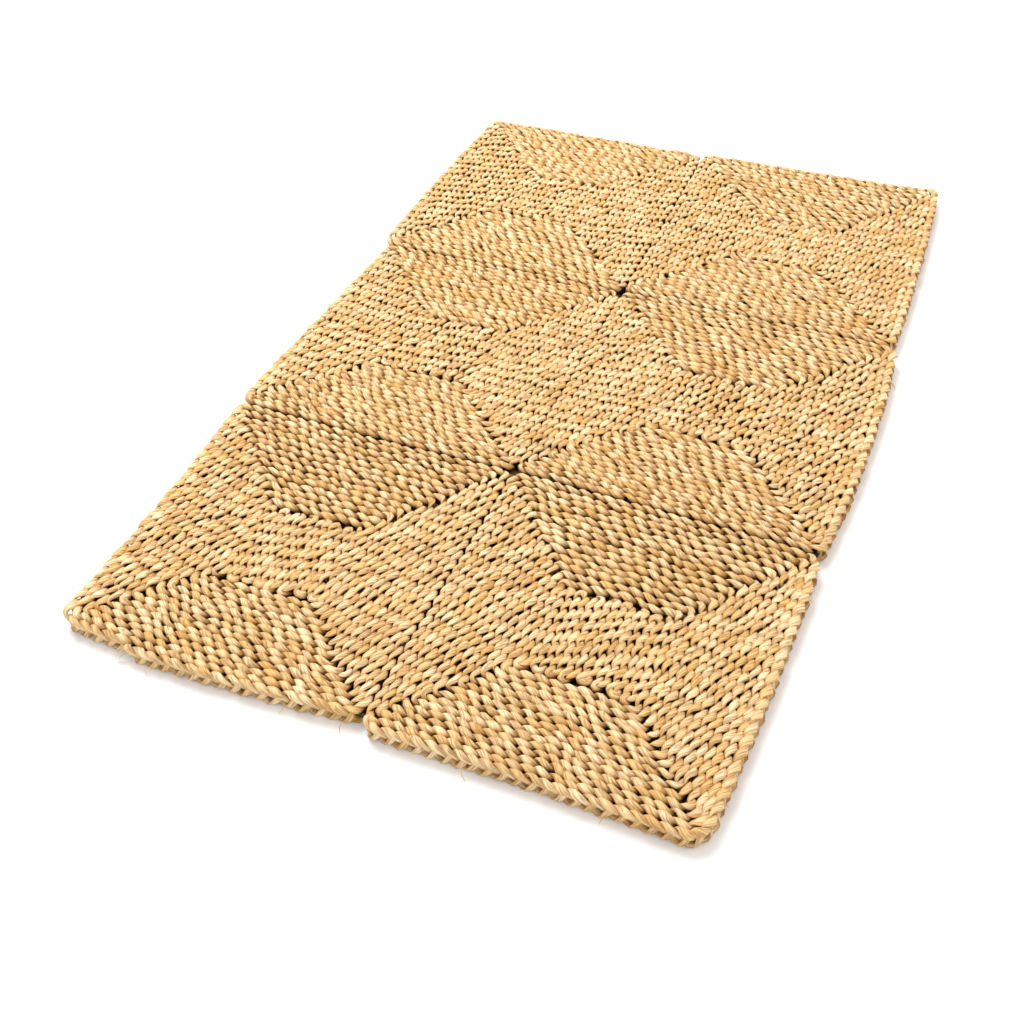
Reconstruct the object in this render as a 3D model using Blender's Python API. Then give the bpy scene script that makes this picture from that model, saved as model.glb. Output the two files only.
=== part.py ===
"""Corn husk rug: six squares of plaited corn husk, sewn edge to edge, two across and three deep.

Each square is one length of flat plait standing on its edge. It runs back and forth to fill a
small core, then winds round that core as a square spiral. Rows lie close together, so both faces
show narrow ribs with a groove between rows, and every row's turns are the ribs' corners.
"""
import math

import bmesh
import bpy
from mathutils import Vector
from mathutils.geometry import delaunay_2d_cdt

# Driving dimensions, in millimetres unless the name says otherwise
MM = 0.001
THICKNESS = 20.0
SQUARE_SIDE = 300.0
SEAM_GAP = 0.5
GROOVE_DEPTH = 3.4
RIM_DROP = 2.2
RIM_INSET = 1.1
RIM_BULGE_HEIGHT = 6.5
CORNER_STEPS = 3
TAIL_TAPER = 9.0
SHARP_RADIUS = 1.0
OUTLINE_STEP = 50.0
ROW_STEP = 160.0
SAME_PLACE = 0.00001

# A row's cross-section, in shares of the row's width: a groove, then the two edges of its flat crest
GROOVE_LINE = 0.0
CREST_EDGES = (0.27, 0.73)
U_TURN_INSET = 0.32
GROOVE_INSET = 0.30

# How far the middle of each side swells from straight: towards +Y on lines across, +X on lines deep
SWELL_ACROSS = (
    {"line": "front", "left": -5.4, "right": 3.0},
    {"line": "front_seam", "left": -3.0, "right": 1.5},
    {"line": "back_seam", "left": 1.0, "right": 0.5},
    {"line": "back", "left": 1.5, "right": -2.7},
)
SWELL_DEEP = (
    {"line": "left", "front": 4.0, "middle": 1.0, "back": -4.2},
    {"line": "seam", "front": 0.0, "middle": 0.5, "back": 1.0},
    {"line": "right", "front": 2.7, "middle": 6.8, "back": 3.0},
)

# Each square: its place, its corners on the floor, the radii that round them, rows in its core, turns
# round it, the shares of its side that the bands of turns take on each side of the core, how far from
# its left side the last row ends, and the husk's tint
SQUARES = (
    {"name": "square_front_left", "column": 0, "row": 0,
     "corners": {"front_left": (-296.0, -450.0), "front_right": (0.0, -436.0),
                 "back_right": (2.0, -143.5), "back_left": (-298.0, -145.0)},
     "radii": {"front_left": 23.0, "back_left": 12.0, "back_right": 12.0, "front_right": 16.0},
     "core_rows": 15, "turns": 14, "bands": {"left": 0.344, "right": 0.322, "front": 0.317, "back": 0.372},
     "tail": 70.0, "tint": (0.77, 0.57, 0.31)},
    {"name": "square_front_right", "column": 1, "row": 0,
     "corners": {"front_left": (0.0, -446.0), "front_right": (279.5, -443.0),
                 "back_right": (291.5, -148.5), "back_left": (2.0, -143.5)},
     "radii": {"front_left": 15.0, "back_left": 12.0, "back_right": 12.0, "front_right": 20.0},
     "core_rows": 15, "turns": 14, "bands": {"left": 0.336, "right": 0.322, "front": 0.309, "back": 0.375},
     "tail": 15.0, "tint": (0.79, 0.60, 0.35)},
    {"name": "square_middle_left", "column": 0, "row": 1,
     "corners": {"front_left": (-301.5, -145.0), "front_right": (2.0, -143.5),
                 "back_right": (2.5, 150.0), "back_left": (-284.0, 150.0)},
     "radii": {"front_left": 12.0, "back_left": 12.0, "back_right": 12.0, "front_right": 12.0},
     "core_rows": 13, "turns": 15, "bands": {"left": 0.363, "right": 0.325, "front": 0.331, "back": 0.358},
     "tail": 12.0, "tint": (0.78, 0.58, 0.32)},
    {"name": "square_middle_right", "column": 1, "row": 1,
     "corners": {"front_left": (2.0, -143.5), "front_right": (291.5, -148.5),
                 "back_right": (296.0, 148.0), "back_left": (2.5, 150.0)},
     "radii": {"front_left": 12.0, "back_left": 12.0, "back_right": 12.0, "front_right": 12.0},
     "core_rows": 13, "turns": 15, "bands": {"left": 0.335, "right": 0.350, "front": 0.331, "back": 0.351},
     "tail": 12.0, "tint": (0.78, 0.59, 0.33)},
    {"name": "square_back_left", "column": 0, "row": 2,
     "corners": {"front_left": (-292.0, 150.0), "front_right": (2.5, 150.0),
                 "back_right": (1.0, 444.5), "back_left": (-284.5, 450.2)},
     "radii": {"front_left": 12.0, "back_left": 8.0, "back_right": 12.0, "front_right": 12.0},
     "core_rows": 13, "turns": 15, "bands": {"left": 0.365, "right": 0.335, "front": 0.340, "back": 0.359},
     "tail": 12.0, "tint": (0.77, 0.57, 0.31)},
    {"name": "square_back_right", "column": 1, "row": 2,
     "corners": {"front_left": (2.5, 150.0), "front_right": (291.5, 148.0),
                 "back_right": (283.0, 450.0), "back_left": (1.0, 449.5)},
     "radii": {"front_left": 12.0, "back_left": 12.0, "back_right": 8.0, "front_right": 12.0},
     "core_rows": 15, "turns": 15, "bands": {"left": 0.350, "right": 0.337, "front": 0.336, "back": 0.382},
     "tail": 12.0, "tint": (0.77, 0.58, 0.32)},
)
CORNER_ORDER = ("front_left", "front_right", "back_right", "back_left")

# The filling's setting that keeps only the triangles inside the outline
INSIDE_OUTLINE = 1

RUG_NAME = "corn_husk_rug"
HUSK_ROUGHNESS = 0.62


def clear_scene():
    """Remove every object, so the rug is alone in the file."""
    for item in list(bpy.data.objects):
        bpy.data.objects.remove(item, do_unlink=True)


def husk_material(square):
    """Dried husk in the tint of one square."""
    material = bpy.data.materials.new("corn_husk_" + square["name"])
    material.use_nodes = True
    shader = material.node_tree.nodes["Principled BSDF"]
    shader.inputs["Base Color"].default_value = (*square["tint"], 1.0)
    shader.inputs["Roughness"].default_value = HUSK_ROUGHNESS
    shader.inputs["Metallic"].default_value = 0.0
    return material


def lay_out(square, x, y):
    """Move a point of the flat, even square to its place in the uneven rug."""
    u = x / SQUARE_SIDE
    v = y / SQUARE_SIDE
    weights = ((1 - u) * (1 - v), u * (1 - v), u * v, (1 - u) * v)
    place_x = 0.0
    place_y = 0.0
    for weight, corner in zip(weights, CORNER_ORDER):
        place_x += weight * square["corners"][corner][0]
        place_y += weight * square["corners"][corner][1]
    side = ("left", "right")[square["column"]]
    depth = ("front", "middle", "back")[square["row"]]
    swell_front = SWELL_ACROSS[square["row"]][side]
    swell_back = SWELL_ACROSS[square["row"] + 1][side]
    swell_left = SWELL_DEEP[square["column"]][depth]
    swell_right = SWELL_DEEP[square["column"] + 1][depth]
    place_y += 4 * u * (1 - u) * ((1 - v) * swell_front + v * swell_back)
    place_x += 4 * v * (1 - v) * ((1 - u) * swell_left + u * swell_right)
    return place_x, place_y


def line_places(square, turn):
    """Where the line that lies some turns out from the core crosses each side of the flat square.

    Turn 0 is the core's edge and the last turn is the square's edge. A turn below 0 is in the core.
    """
    half_gap = SEAM_GAP / 2
    share = 1 - turn / square["turns"]
    bands = {side: part * SQUARE_SIDE for side, part in square["bands"].items()}
    return {
        "left": half_gap + (bands["left"] - half_gap) * share,
        "right": SQUARE_SIDE - half_gap - (bands["right"] - half_gap) * share,
        "front": half_gap + (bands["front"] - half_gap) * share,
        "back": SQUARE_SIDE - half_gap - (bands["back"] - half_gap) * share,
    }


def corner_arc(corner, into, out_of, radius, steps):
    """Points round a corner of a line, from its direction in to its direction out."""
    if radius < SHARP_RADIUS:
        return [corner]
    centre_x = corner[0] + radius * (out_of[0] - into[0])
    centre_y = corner[1] + radius * (out_of[1] - into[1])
    points = []
    for step in range(steps + 1):
        angle = math.pi / 2 * step / steps
        reach_out = -math.cos(angle)
        reach_in = math.sin(angle)
        points.append((centre_x + radius * (out_of[0] * reach_out + into[0] * reach_in),
                       centre_y + radius * (out_of[1] * reach_out + into[1] * reach_in)))
    return points


def divide(points, step):
    """Add points along a line so that no stretch is longer than the step."""
    divided = [points[0]]
    for start, end in zip(points, points[1:]):
        count = max(1, math.ceil(math.dist(start, end) / step - 0.01))
        for index in range(1, count + 1):
            share = index / count
            divided.append((start[0] + (end[0] - start[0]) * share,
                            start[1] + (end[1] - start[1]) * share))
    return divided


def line_radius(square, turn, corner):
    """Radius of a line at one corner: the square's own at its edge, tighter further in."""
    row_width = SQUARE_SIDE * square["bands"]["left"] / square["turns"]
    return square["radii"][corner] - (square["turns"] - turn) * row_width


def spiral_line(square, phase):
    """The spiral that keeps one phase of the rows' section, from the core out to the square's edge.

    It goes up the left side, along the back, down the right side and along the front. At the front
    left corner it steps out by one row, so the plait winds on round the turn before.
    """
    points = []
    for turn in range(square["turns"]):
        here = line_places(square, turn + phase)
        inner = line_places(square, turn + phase - 1)
        radius = {corner: line_radius(square, turn + phase, corner) for corner in CORNER_ORDER}
        first_radius = line_radius(square, turn + phase - 1, "front_left")
        bends = (
            ((here["left"], inner["front"]), (-1, 0), (0, 1), first_radius),
            ((here["left"], here["back"]), (0, 1), (1, 0), radius["back_left"]),
            ((here["right"], here["back"]), (1, 0), (0, -1), radius["back_right"]),
            ((here["right"], here["front"]), (0, -1), (-1, 0), radius["front_right"]),
        )
        for bend in bends:
            points += corner_arc(*bend, CORNER_STEPS)
    edge = line_places(square, square["turns"])
    end_x = edge["left"] + square["tail"]
    points.append((end_x, line_places(square, square["turns"] - 1 + phase)["front"]))
    return points


def core_lines(square):
    """Lines of the back-and-forth rows in the core: the crests' edges, and the grooves between rows."""
    edge = line_places(square, 0)
    turn_line = line_places(square, -U_TURN_INSET)
    groove_line = line_places(square, -GROOVE_INSET)
    closed_line = line_places(square, -1)
    rows = square["core_rows"]
    row_width = (edge["right"] - edge["left"]) / rows
    crests = []
    grooves = []
    for row in range(rows):
        for phase in CREST_EDGES:
            x = edge["left"] + (row + phase) * row_width
            crests.append([(x, turn_line["front"]), (x, turn_line["back"])])
    for row in range(1, rows):
        x = edge["left"] + row * row_width
        joined_at_back = row % 2 == 1
        front = groove_line["front"] if joined_at_back else closed_line["front"]
        back = closed_line["back"] if joined_at_back else groove_line["back"]
        grooves.append([(x, front), (x, back)])
    return crests, grooves


def square_outline(square, inset):
    """The closed outline of the flat square, drawn in from its edge by an inset.

    Where the last row ends short of the front left corner, the outline steps in to the row before.
    """
    edge = line_places(square, square["turns"])
    left, right = edge["left"] + inset, edge["right"] - inset
    front, back = edge["front"] + inset, edge["back"] - inset
    radii = {corner: radius - inset for corner, radius in square["radii"].items()}
    first_front = front
    tail_end = edge["left"] + square["tail"]
    ends_short = square["tail"] > square["radii"]["front_left"]
    if ends_short:
        first_front = line_places(square, square["turns"] - 1)["front"] + inset
        radii["front_left"] = line_radius(square, square["turns"] - 1, "front_left") - inset
    points = corner_arc((left, first_front), (-1, 0), (0, 1), radii["front_left"], CORNER_STEPS)
    points += corner_arc((left, back), (0, 1), (1, 0), radii["back_left"], CORNER_STEPS)
    points += corner_arc((right, back), (1, 0), (0, -1), radii["back_right"], CORNER_STEPS)
    points += corner_arc((right, front), (0, -1), (-1, 0), radii["front_right"], CORNER_STEPS)
    if ends_short:
        points += [(tail_end, front), (tail_end - TAIL_TAPER, first_front)]
    return divide(points + points[:1], OUTLINE_STEP)[:-1]


def plan_of_face(square):
    """Points, edges and heights of one face of the square, as lines still to be filled."""
    points = []
    heights = []
    edges = []

    def add_line(line, height, closed=False):
        start = len(points)
        points.extend(line)
        heights.extend([height] * len(line))
        edges.extend((start + index, start + index + 1) for index in range(len(line) - 1))
        if closed:
            edges.append((start + len(line) - 1, start))

    add_line(square_outline(square, RIM_INSET), THICKNESS - RIM_DROP, closed=True)
    add_line(divide(spiral_line(square, GROOVE_LINE), ROW_STEP), THICKNESS - GROOVE_DEPTH)
    for phase in CREST_EDGES:
        add_line(divide(spiral_line(square, phase), ROW_STEP), THICKNESS)
    crests, grooves = core_lines(square)
    for line in crests:
        add_line(line, THICKNESS)
    for line in grooves:
        add_line(line, THICKNESS - GROOVE_DEPTH)
    return points, edges, heights


def fill_face(square, mesh):
    """Fill the plan of one face, raise its ribs, and return the points of its outline in order."""
    points, edges, heights = plan_of_face(square)
    flat = [Vector(point) for point in points]
    places, _, faces, sources, _, _ = delaunay_2d_cdt(flat, edges, [], INSIDE_OUTLINE, SAME_PLACE)
    corners = []
    for place, source in zip(places, sources):
        x, y = lay_out(square, place.x, place.y)
        corners.append(mesh.verts.new((x, y, heights[source[0]])))
    for face in faces:
        mesh.faces.new([corners[index] for index in face])
    rim = {}
    for corner, source in zip(corners, sources):
        rim[source[0]] = corner
    return [rim[index] for index in range(len(square_outline(square, RIM_INSET)))]


def square_mesh(square):
    """One square as a closed body: ribbed top and underside, and a rounded rim between them."""
    mesh = bmesh.new()
    rim = fill_face(square, mesh)
    bmesh.ops.recalc_face_normals(mesh, faces=mesh.faces[:])
    copied = bmesh.ops.duplicate(mesh, geom=mesh.verts[:] + mesh.edges[:] + mesh.faces[:])
    for item in copied["geom"]:
        if isinstance(item, bmesh.types.BMVert):
            item.co.z = THICKNESS - item.co.z
    rings = [rim]
    for height in (THICKNESS - RIM_BULGE_HEIGHT, RIM_BULGE_HEIGHT):
        ring = [mesh.verts.new((*lay_out(square, *point), height)) for point in square_outline(square, 0.0)]
        for corner, following in zip(ring, ring[1:] + ring[:1]):
            mesh.edges.new((corner, following))
        rings.append(ring)
    rings.append([copied["vert_map"][corner] for corner in rim])
    for upper, lower in zip(rings, rings[1:]):
        loops = [mesh.edges.get((a, b)) for ring in (upper, lower) for a, b in zip(ring, ring[1:] + ring[:1])]
        bmesh.ops.bridge_loops(mesh, edges=loops)
    bmesh.ops.triangulate(mesh, faces=mesh.faces[:])
    bmesh.ops.recalc_face_normals(mesh, faces=mesh.faces[:])
    return mesh


def build_square(square, collection, parent):
    """Make one square's object, with its origin on the floor under its middle."""
    corners = square["corners"].values()
    centre = Vector((sum(corner[0] for corner in corners) / 4, sum(corner[1] for corner in corners) / 4, 0.0))
    mesh = square_mesh(square)
    bmesh.ops.translate(mesh, verts=mesh.verts[:], vec=-centre)
    bmesh.ops.scale(mesh, verts=mesh.verts[:], vec=(MM, MM, MM))
    data = bpy.data.meshes.new(square["name"])
    mesh.to_mesh(data)
    mesh.free()
    data.materials.append(husk_material(square))
    item = bpy.data.objects.new(square["name"], data)
    item.location = centre * MM
    item.parent = parent
    collection.objects.link(item)
    return item


def build_rug():
    """Lay the six squares out in the rug's collection, under one parent."""
    clear_scene()
    collection = bpy.data.collections.new(RUG_NAME)
    bpy.context.scene.collection.children.link(collection)
    parent = bpy.data.objects.new(RUG_NAME + "_origin", None)
    collection.objects.link(parent)
    for square in SQUARES:
        build_square(square, collection, parent)


build_rug()
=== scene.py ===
"""Looks of a corn husk rug: plaited squares, their frayed ends, and the studio that they lie in."""

import logging
import math
from dataclasses import dataclass, fields, replace
from enum import Enum

import bpy
import numpy as np
from mathutils import Matrix, Vector


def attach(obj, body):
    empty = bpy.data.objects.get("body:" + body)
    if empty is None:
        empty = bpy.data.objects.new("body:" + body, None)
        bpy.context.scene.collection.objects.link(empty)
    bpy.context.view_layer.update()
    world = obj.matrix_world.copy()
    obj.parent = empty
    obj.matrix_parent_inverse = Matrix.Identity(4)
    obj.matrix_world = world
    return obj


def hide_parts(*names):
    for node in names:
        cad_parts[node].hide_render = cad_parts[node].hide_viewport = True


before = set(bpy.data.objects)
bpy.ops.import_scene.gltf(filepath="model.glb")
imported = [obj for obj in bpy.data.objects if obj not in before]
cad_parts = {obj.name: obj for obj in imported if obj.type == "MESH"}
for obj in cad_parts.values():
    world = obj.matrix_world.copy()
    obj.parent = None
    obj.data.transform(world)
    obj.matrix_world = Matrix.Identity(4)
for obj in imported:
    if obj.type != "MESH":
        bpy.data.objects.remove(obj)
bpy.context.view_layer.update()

logging.basicConfig(level=logging.INFO, format="%(message)s")
LOG = logging.getLogger("corn_husk_rug")

Pair = tuple[float, float]
Point = tuple[float, float, float]
Colour = tuple[float, float, float]

MM = 0.001
STRANDS = 3
FULL_TURN = 360.0
HALF_TURN = 180.0
LOBE_ANGLE = FULL_TURN / STRANDS
LAST_COLUMN = 1
LAST_ROW = 2
ROW_SEEDS = 100000
WANDER_SEED = 50
STRAND_SEEDS = 7


class Heading(Enum):
    """Which way a straight row of plait runs in its square."""

    DEEP = "along the rug's long side"
    ACROSS = "along the rug's short side"


@dataclass(frozen=True)
class Sides:
    """A value for each side of a square."""

    left: float
    right: float
    front: float
    back: float


@dataclass(frozen=True)
class CornerPlaces:
    """Where each corner of a square lies on the floor, in mm."""

    front_left: Pair
    front_right: Pair
    back_right: Pair
    back_left: Pair


@dataclass(frozen=True)
class CornerRadii:
    """How widely the outermost row bends at each corner of a square, in mm."""

    front_left: float
    front_right: float
    back_right: float
    back_left: float


@dataclass(frozen=True)
class SquarePlan:
    """How one square of the rug is laid: its place, rows, turns and the habits of its stitches.

    Bands are the shares of the square's side that the turns take beside its core. Staggers say how
    far each row's stitches are shifted from the row before, in stitches. The tail is how far from
    the front left corner the last row ends, and stitch is the distance between crossings, in mm.
    """

    name: str
    column: int
    row: int
    corners: CornerPlaces
    radii: CornerRadii
    core_rows: int
    turns: int
    bands: Sides
    tail: float
    stitch: float
    stagger: Sides
    stagger_core: float
    seed: int

    def tail_is_tucked(self) -> bool:
        """Whether the last row ends short of the front left corner, tucked in along the front."""
        return self.tail > self.radii.front_left


def between(low: float | np.ndarray, high: float | np.ndarray, share: np.ndarray) -> np.ndarray:
    """The value that lies a share of the way from low to high."""
    return low + (high - low) * share


def bulge(share: np.ndarray) -> np.ndarray:
    """A smooth swell along a side: 1 in its middle and 0 at both its ends."""
    return 4 * share * (1 - share)


def direction(start: np.ndarray, end: np.ndarray) -> np.ndarray:
    """The way from one place to another, of length 1."""
    return (end - start) / np.linalg.norm(end - start)


def unit_rows(values: np.ndarray) -> np.ndarray:
    """Bring each row of an array to length 1."""
    return values / np.linalg.norm(values, axis=1)[:, None]


@dataclass(frozen=True)
class RugLayout:
    """The uneven outline of the rug: how its squares' sides swell, and where their rows lie; in mm."""

    side: float = 300.0
    gap: float = 0.5
    swell_across: tuple[tuple[float, ...], ...] = ((-5.4, 3.0), (-3.0, 1.5), (1.0, 0.5), (1.5, -2.7))
    swell_deep: tuple[tuple[float, ...], ...] = ((4.0, 1.0, -4.2), (0.0, 0.5, 1.0), (2.7, 6.8, 3.0))
    seam_opening_across: float = 0.9
    seam_opening_deep: float = 0.5
    seam_reach: float = 9.0

    def lay_out(self, plan: SquarePlan, x: np.ndarray, y: np.ndarray) -> tuple[np.ndarray, np.ndarray]:
        """Move points of a flat, even square to their places in the rug.

        Args:
            plan: The square that the points belong to.
            x: Distances from the square's left side, in mm.
            y: Distances from the square's front side, in mm.

        Returns:
            The x and y of the points in the rug, in mm.
        """
        side = self.side
        x = x + self.seam_opening_deep * (
            (plan.column == LAST_COLUMN) * np.exp(-x / self.seam_reach)
            - (plan.column == 0) * np.exp((x - side) / self.seam_reach))
        y = y + self.seam_opening_across * (
            (plan.row > 0) * np.exp(-y / self.seam_reach)
            - (plan.row < LAST_ROW) * np.exp((y - side) / self.seam_reach))
        u = x / side
        v = y / side
        corners = plan.corners
        place = []
        for axis in range(2):
            front = (1 - u) * corners.front_left[axis] + u * corners.front_right[axis]
            back = (1 - u) * corners.back_left[axis] + u * corners.back_right[axis]
            place.append((1 - v) * front + v * back)
        column = plan.column
        row = plan.row
        swell_y = (1 - v) * self.swell_across[row][column] + v * self.swell_across[row + 1][column]
        swell_x = (1 - u) * self.swell_deep[column][row] + u * self.swell_deep[column + 1][row]
        return place[0] + bulge(v) * swell_x, place[1] + bulge(u) * swell_y

    def line_places(self, plan: SquarePlan, turn: float) -> Sides:
        """Where a line that lies some turns out from the core crosses each side of the flat square.

        Args:
            plan: The square that the line belongs to.
            turn: Turns outward from the core's edge; below 0 is inside the core.

        Returns:
            The line's x on the left and right, and its y on the front and back, in mm.
        """
        half_gap = self.gap / 2
        share = 1 - turn / plan.turns
        bands = plan.bands
        return Sides(
            left=half_gap + (bands.left * self.side - half_gap) * share,
            right=self.side - half_gap - (bands.right * self.side - half_gap) * share,
            front=half_gap + (bands.front * self.side - half_gap) * share,
            back=self.side - half_gap - (bands.back * self.side - half_gap) * share,
        )


@dataclass(frozen=True)
class StrandShape:
    """How the strands lie where the plait runs one way over the rug; lengths in mm."""

    half_spread: float
    crest_flatness: float
    roll_rate: float
    roll_sharpness: float
    flat_half_width: float
    flat_half_thickness: float
    crest_half_width: float
    crest_half_thickness: float
    lap_lift: float

    def towards(self, other: "StrandShape", share: np.ndarray) -> "StrandShape":
        """Blend into another shape along the plait.

        Args:
            other: The shape to blend into.
            share: How much of the other shape each point takes, 0 to 1.

        Returns:
            The shape at each point.
        """
        names = [size.name for size in fields(self)]
        return StrandShape(*[between(getattr(self, name), getattr(other, name), share) for name in names])


@dataclass(frozen=True)
class PlaitSize:
    """Sizes of the three-strand plait that stands on its edge, in mm."""

    across: StrandShape = StrandShape(
        half_spread=2.0, crest_flatness=0.08, roll_rate=0.9, roll_sharpness=1.2, flat_half_width=3.5,
        flat_half_thickness=1.55, crest_half_width=3.2, crest_half_thickness=1.9, lap_lift=1.2)
    deep: StrandShape = StrandShape(
        half_spread=2.3, crest_flatness=0.08, roll_rate=1.0, roll_sharpness=1.5, flat_half_width=3.75,
        flat_half_thickness=1.55, crest_half_width=3.25, crest_half_thickness=1.9, lap_lift=0.0)
    half_height: float = 7.9
    bend_radius: float = 4.4
    mid_height: float = 10.0
    height_jitter: float = 0.6
    spread_jitter: float = 0.35
    width_jitter: float = 0.12
    phase_jitter: float = 10.0
    wander: float = 0.8
    slip_across: float = 0.24
    slip_deep: float = 0.10
    tail_taper: float = 10.0
    end_trim: float = 3.0
    lap_width: float = 0.07
    lap_inset: float = 0.15
    lap_heading: Pair = (0.46, -0.89)
    rim_fullness: float = 0.28
    rim_reach: float = 18.0
    seam_slimness: float = 0.16
    seam_reach: float = 16.0
    grain_fold: float = 400.0


@dataclass
class Route:
    """The line that a square's plait follows, and how far its twist has turned at each point."""

    x: np.ndarray
    y: np.ndarray
    length: np.ndarray
    phase: np.ndarray
    outer_start: float

    def at(self, length: np.ndarray) -> tuple[np.ndarray, np.ndarray, np.ndarray, np.ndarray]:
        """Find places on the line.

        Args:
            length: Distances along the line, in mm.

        Returns:
            The x and y of each place, and the x and y of the line's direction there.
        """
        way_x = np.interp(length, self.length, np.gradient(self.x, self.length))
        way_y = np.interp(length, self.length, np.gradient(self.y, self.length))
        size = np.hypot(way_x, way_y)
        x = np.interp(length, self.length, self.x)
        y = np.interp(length, self.length, self.y)
        return x, y, way_x / size, way_y / size


@dataclass(frozen=True)
class RouteCorner:
    """A corner of the line, with its bend radius and the stagger of the row that ends there."""

    x: float
    y: float
    radius: float
    stagger: float

    def place(self) -> np.ndarray:
        """The corner's place in the flat square."""
        return np.array([self.x, self.y])


@dataclass
class RunAnchor:
    """The middle of a straight row, where the stitches are lined up with their neighbours."""

    length: float
    phase: float


@dataclass
class RouteMaker:
    """Lays the line of one square: back and forth in the core, then round it as a square spiral.

    Insets are in rows, twist and wobble in degrees, and lengths in mm.
    """

    layout: RugLayout
    plait: PlaitSize
    plan: SquarePlan
    sample_step: float = 0.8
    least_step: float = 0.008
    least_bend_points: int = 5
    shortest_anchored_run: float = 30.0
    blend_length: float = 18.0
    u_turn_inset: float = 0.5
    start_inset: float = 0.2
    tail_inset: float = 0.85
    outer_rows: int = 5
    first_twist: float = 90.0
    wobble: float = 5.0
    wobble_step: float = 30.0
    waves: tuple[float, ...] = (45.0, 70.0, 110.0)
    wave_bend: float = 0.8
    wave_bend_length: float = 160.0
    still_edge: float = 12.0
    still_share: float = 0.25

    def corners(self) -> list[RouteCorner]:
        """List the corners of the line in order, from the core's start to the tail's end."""
        plan = self.plan
        edge = self.layout.line_places(plan, 0)
        u_turn = self.layout.line_places(plan, -self.u_turn_inset)
        row_width = (edge.right - edge.left) / plan.core_rows
        points = []
        for row in reversed(range(plan.core_rows)):
            x = edge.left + (row + 0.5) * row_width
            ends = (u_turn.back, u_turn.front) if row % 2 == 0 else (u_turn.front, u_turn.back)
            points += [RouteCorner(x, y, row_width / 2, plan.stagger_core * row) for y in ends]
        start = self.layout.line_places(plan, -self.start_inset).back
        points[0] = replace(points[0], y=start, radius=0.0, stagger=0.0)
        first = self.layout.line_places(plan, 0.5)
        first_radius = (edge.left + row_width / 2 - first.left) / 2
        points[-1] = replace(points[-1], radius=first_radius)
        for turn in range(plan.turns):
            here = self.layout.line_places(plan, turn + 0.5)
            inner = self.layout.line_places(plan, turn - 0.5)
            if turn > 0:
                first_radius = self.bend(turn - 0.5, plan.radii.front_left)
            back_left = self.bend(turn + 0.5, plan.radii.back_left)
            back_right = self.bend(turn + 0.5, plan.radii.back_right)
            front_right = self.bend(turn + 0.5, plan.radii.front_right)
            points += [
                RouteCorner(here.left, inner.front, first_radius, plan.stagger.front * (turn - 1)),
                RouteCorner(here.left, here.back, back_left, plan.stagger.left * turn),
                RouteCorner(here.right, here.back, back_right, plan.stagger.back * turn),
                RouteCorner(here.right, here.front, front_right, plan.stagger.right * turn),
            ]
        stagger = plan.stagger.front * (plan.turns - 1)
        if plan.tail_is_tucked():
            inner = self.layout.line_places(plan, plan.turns - self.tail_inset)
            tail_end = here.left + plan.tail
            points.append(RouteCorner(tail_end + self.plait.tail_taper, here.front, 0.0, stagger))
            points.append(RouteCorner(tail_end, inner.front, 0.0, stagger))
        else:
            radius = plan.tail - (first.left - here.left) / (plan.turns - 1) / 2
            points.append(RouteCorner(here.left, here.front, radius, stagger))
            points.append(RouteCorner(here.left, here.front + radius + 1.0, 0.0, 0.0))
        return points

    def bend(self, turn: float, outer_radius: float) -> float:
        """Bend radius of the plait at a corner of a turn, wider towards the square's edge."""
        width = self.layout.side * self.plan.bands.left / self.plan.turns
        return max(self.plait.bend_radius, outer_radius - (self.plan.turns - turn) * width)

    def trace(self) -> tuple[np.ndarray, list[RunAnchor], list[float], float]:
        """Follow the corners with straight rows and round bends.

        Returns:
            The line's points, the middles of its long rows, the distances along it to its bends, and
            the distance to where the square's outermost rows start.
        """
        corners = self.corners()
        pieces = []
        anchors = []
        bends = []
        travelled = 0.0
        outer_start = 0.0
        here = corners[0].place()
        for index in range(1, len(corners)):
            place = corners[index].place()
            radius = corners[index].radius
            way_in = direction(corners[index - 1].place(), place)
            run_end = place - way_in * radius
            run = float(np.linalg.norm(run_end - here))
            count = max(1, int(run / self.sample_step))
            pieces.append(here + np.outer(np.arange(count) / count, run_end - here))
            if run > self.shortest_anchored_run:
                middle = (here + run_end) / 2
                anchors.append(self.anchor(travelled + run / 2, middle, way_in, corners[index].stagger))
            travelled += run
            if index == len(corners) - self.outer_rows:
                outer_start = travelled
            here = run_end
            if radius > 0 and index < len(corners) - 1:
                way_out = direction(place, corners[index + 1].place())
                centre = run_end + way_out * radius
                count = max(self.least_bend_points, int(radius * math.pi / 2 / self.sample_step))
                angles = np.arange(count) / count * math.pi / 2
                pieces.append(centre - np.outer(np.cos(angles), way_out) * radius
                              + np.outer(np.sin(angles), way_in) * radius)
                bends.append(travelled + radius * math.pi / 4)
                travelled += radius * math.pi / 2
                here = centre + way_in * radius
        return np.concatenate(pieces), anchors, bends, outer_start

    def make(self) -> Route:
        """Sample the line, line up its stitches row by row, and let it wander a little.

        Returns:
            The finished route in the flat square.
        """
        line, anchors, bends, outer_start = self.trace()
        steps = np.linalg.norm(np.diff(line, axis=0), axis=1)
        apart = np.concatenate([[True], steps > self.least_step])
        length = np.concatenate([[0.0], np.cumsum(steps)])[apart]
        line = line[apart]
        keep = length <= length[-1] - self.plait.end_trim
        line, length = line[keep], length[keep]
        phase = self.phase_along(length, anchors, bends)
        x, y = self.wander(line[:, 0], line[:, 1])
        return Route(x, y, length, phase, outer_start)

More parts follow.
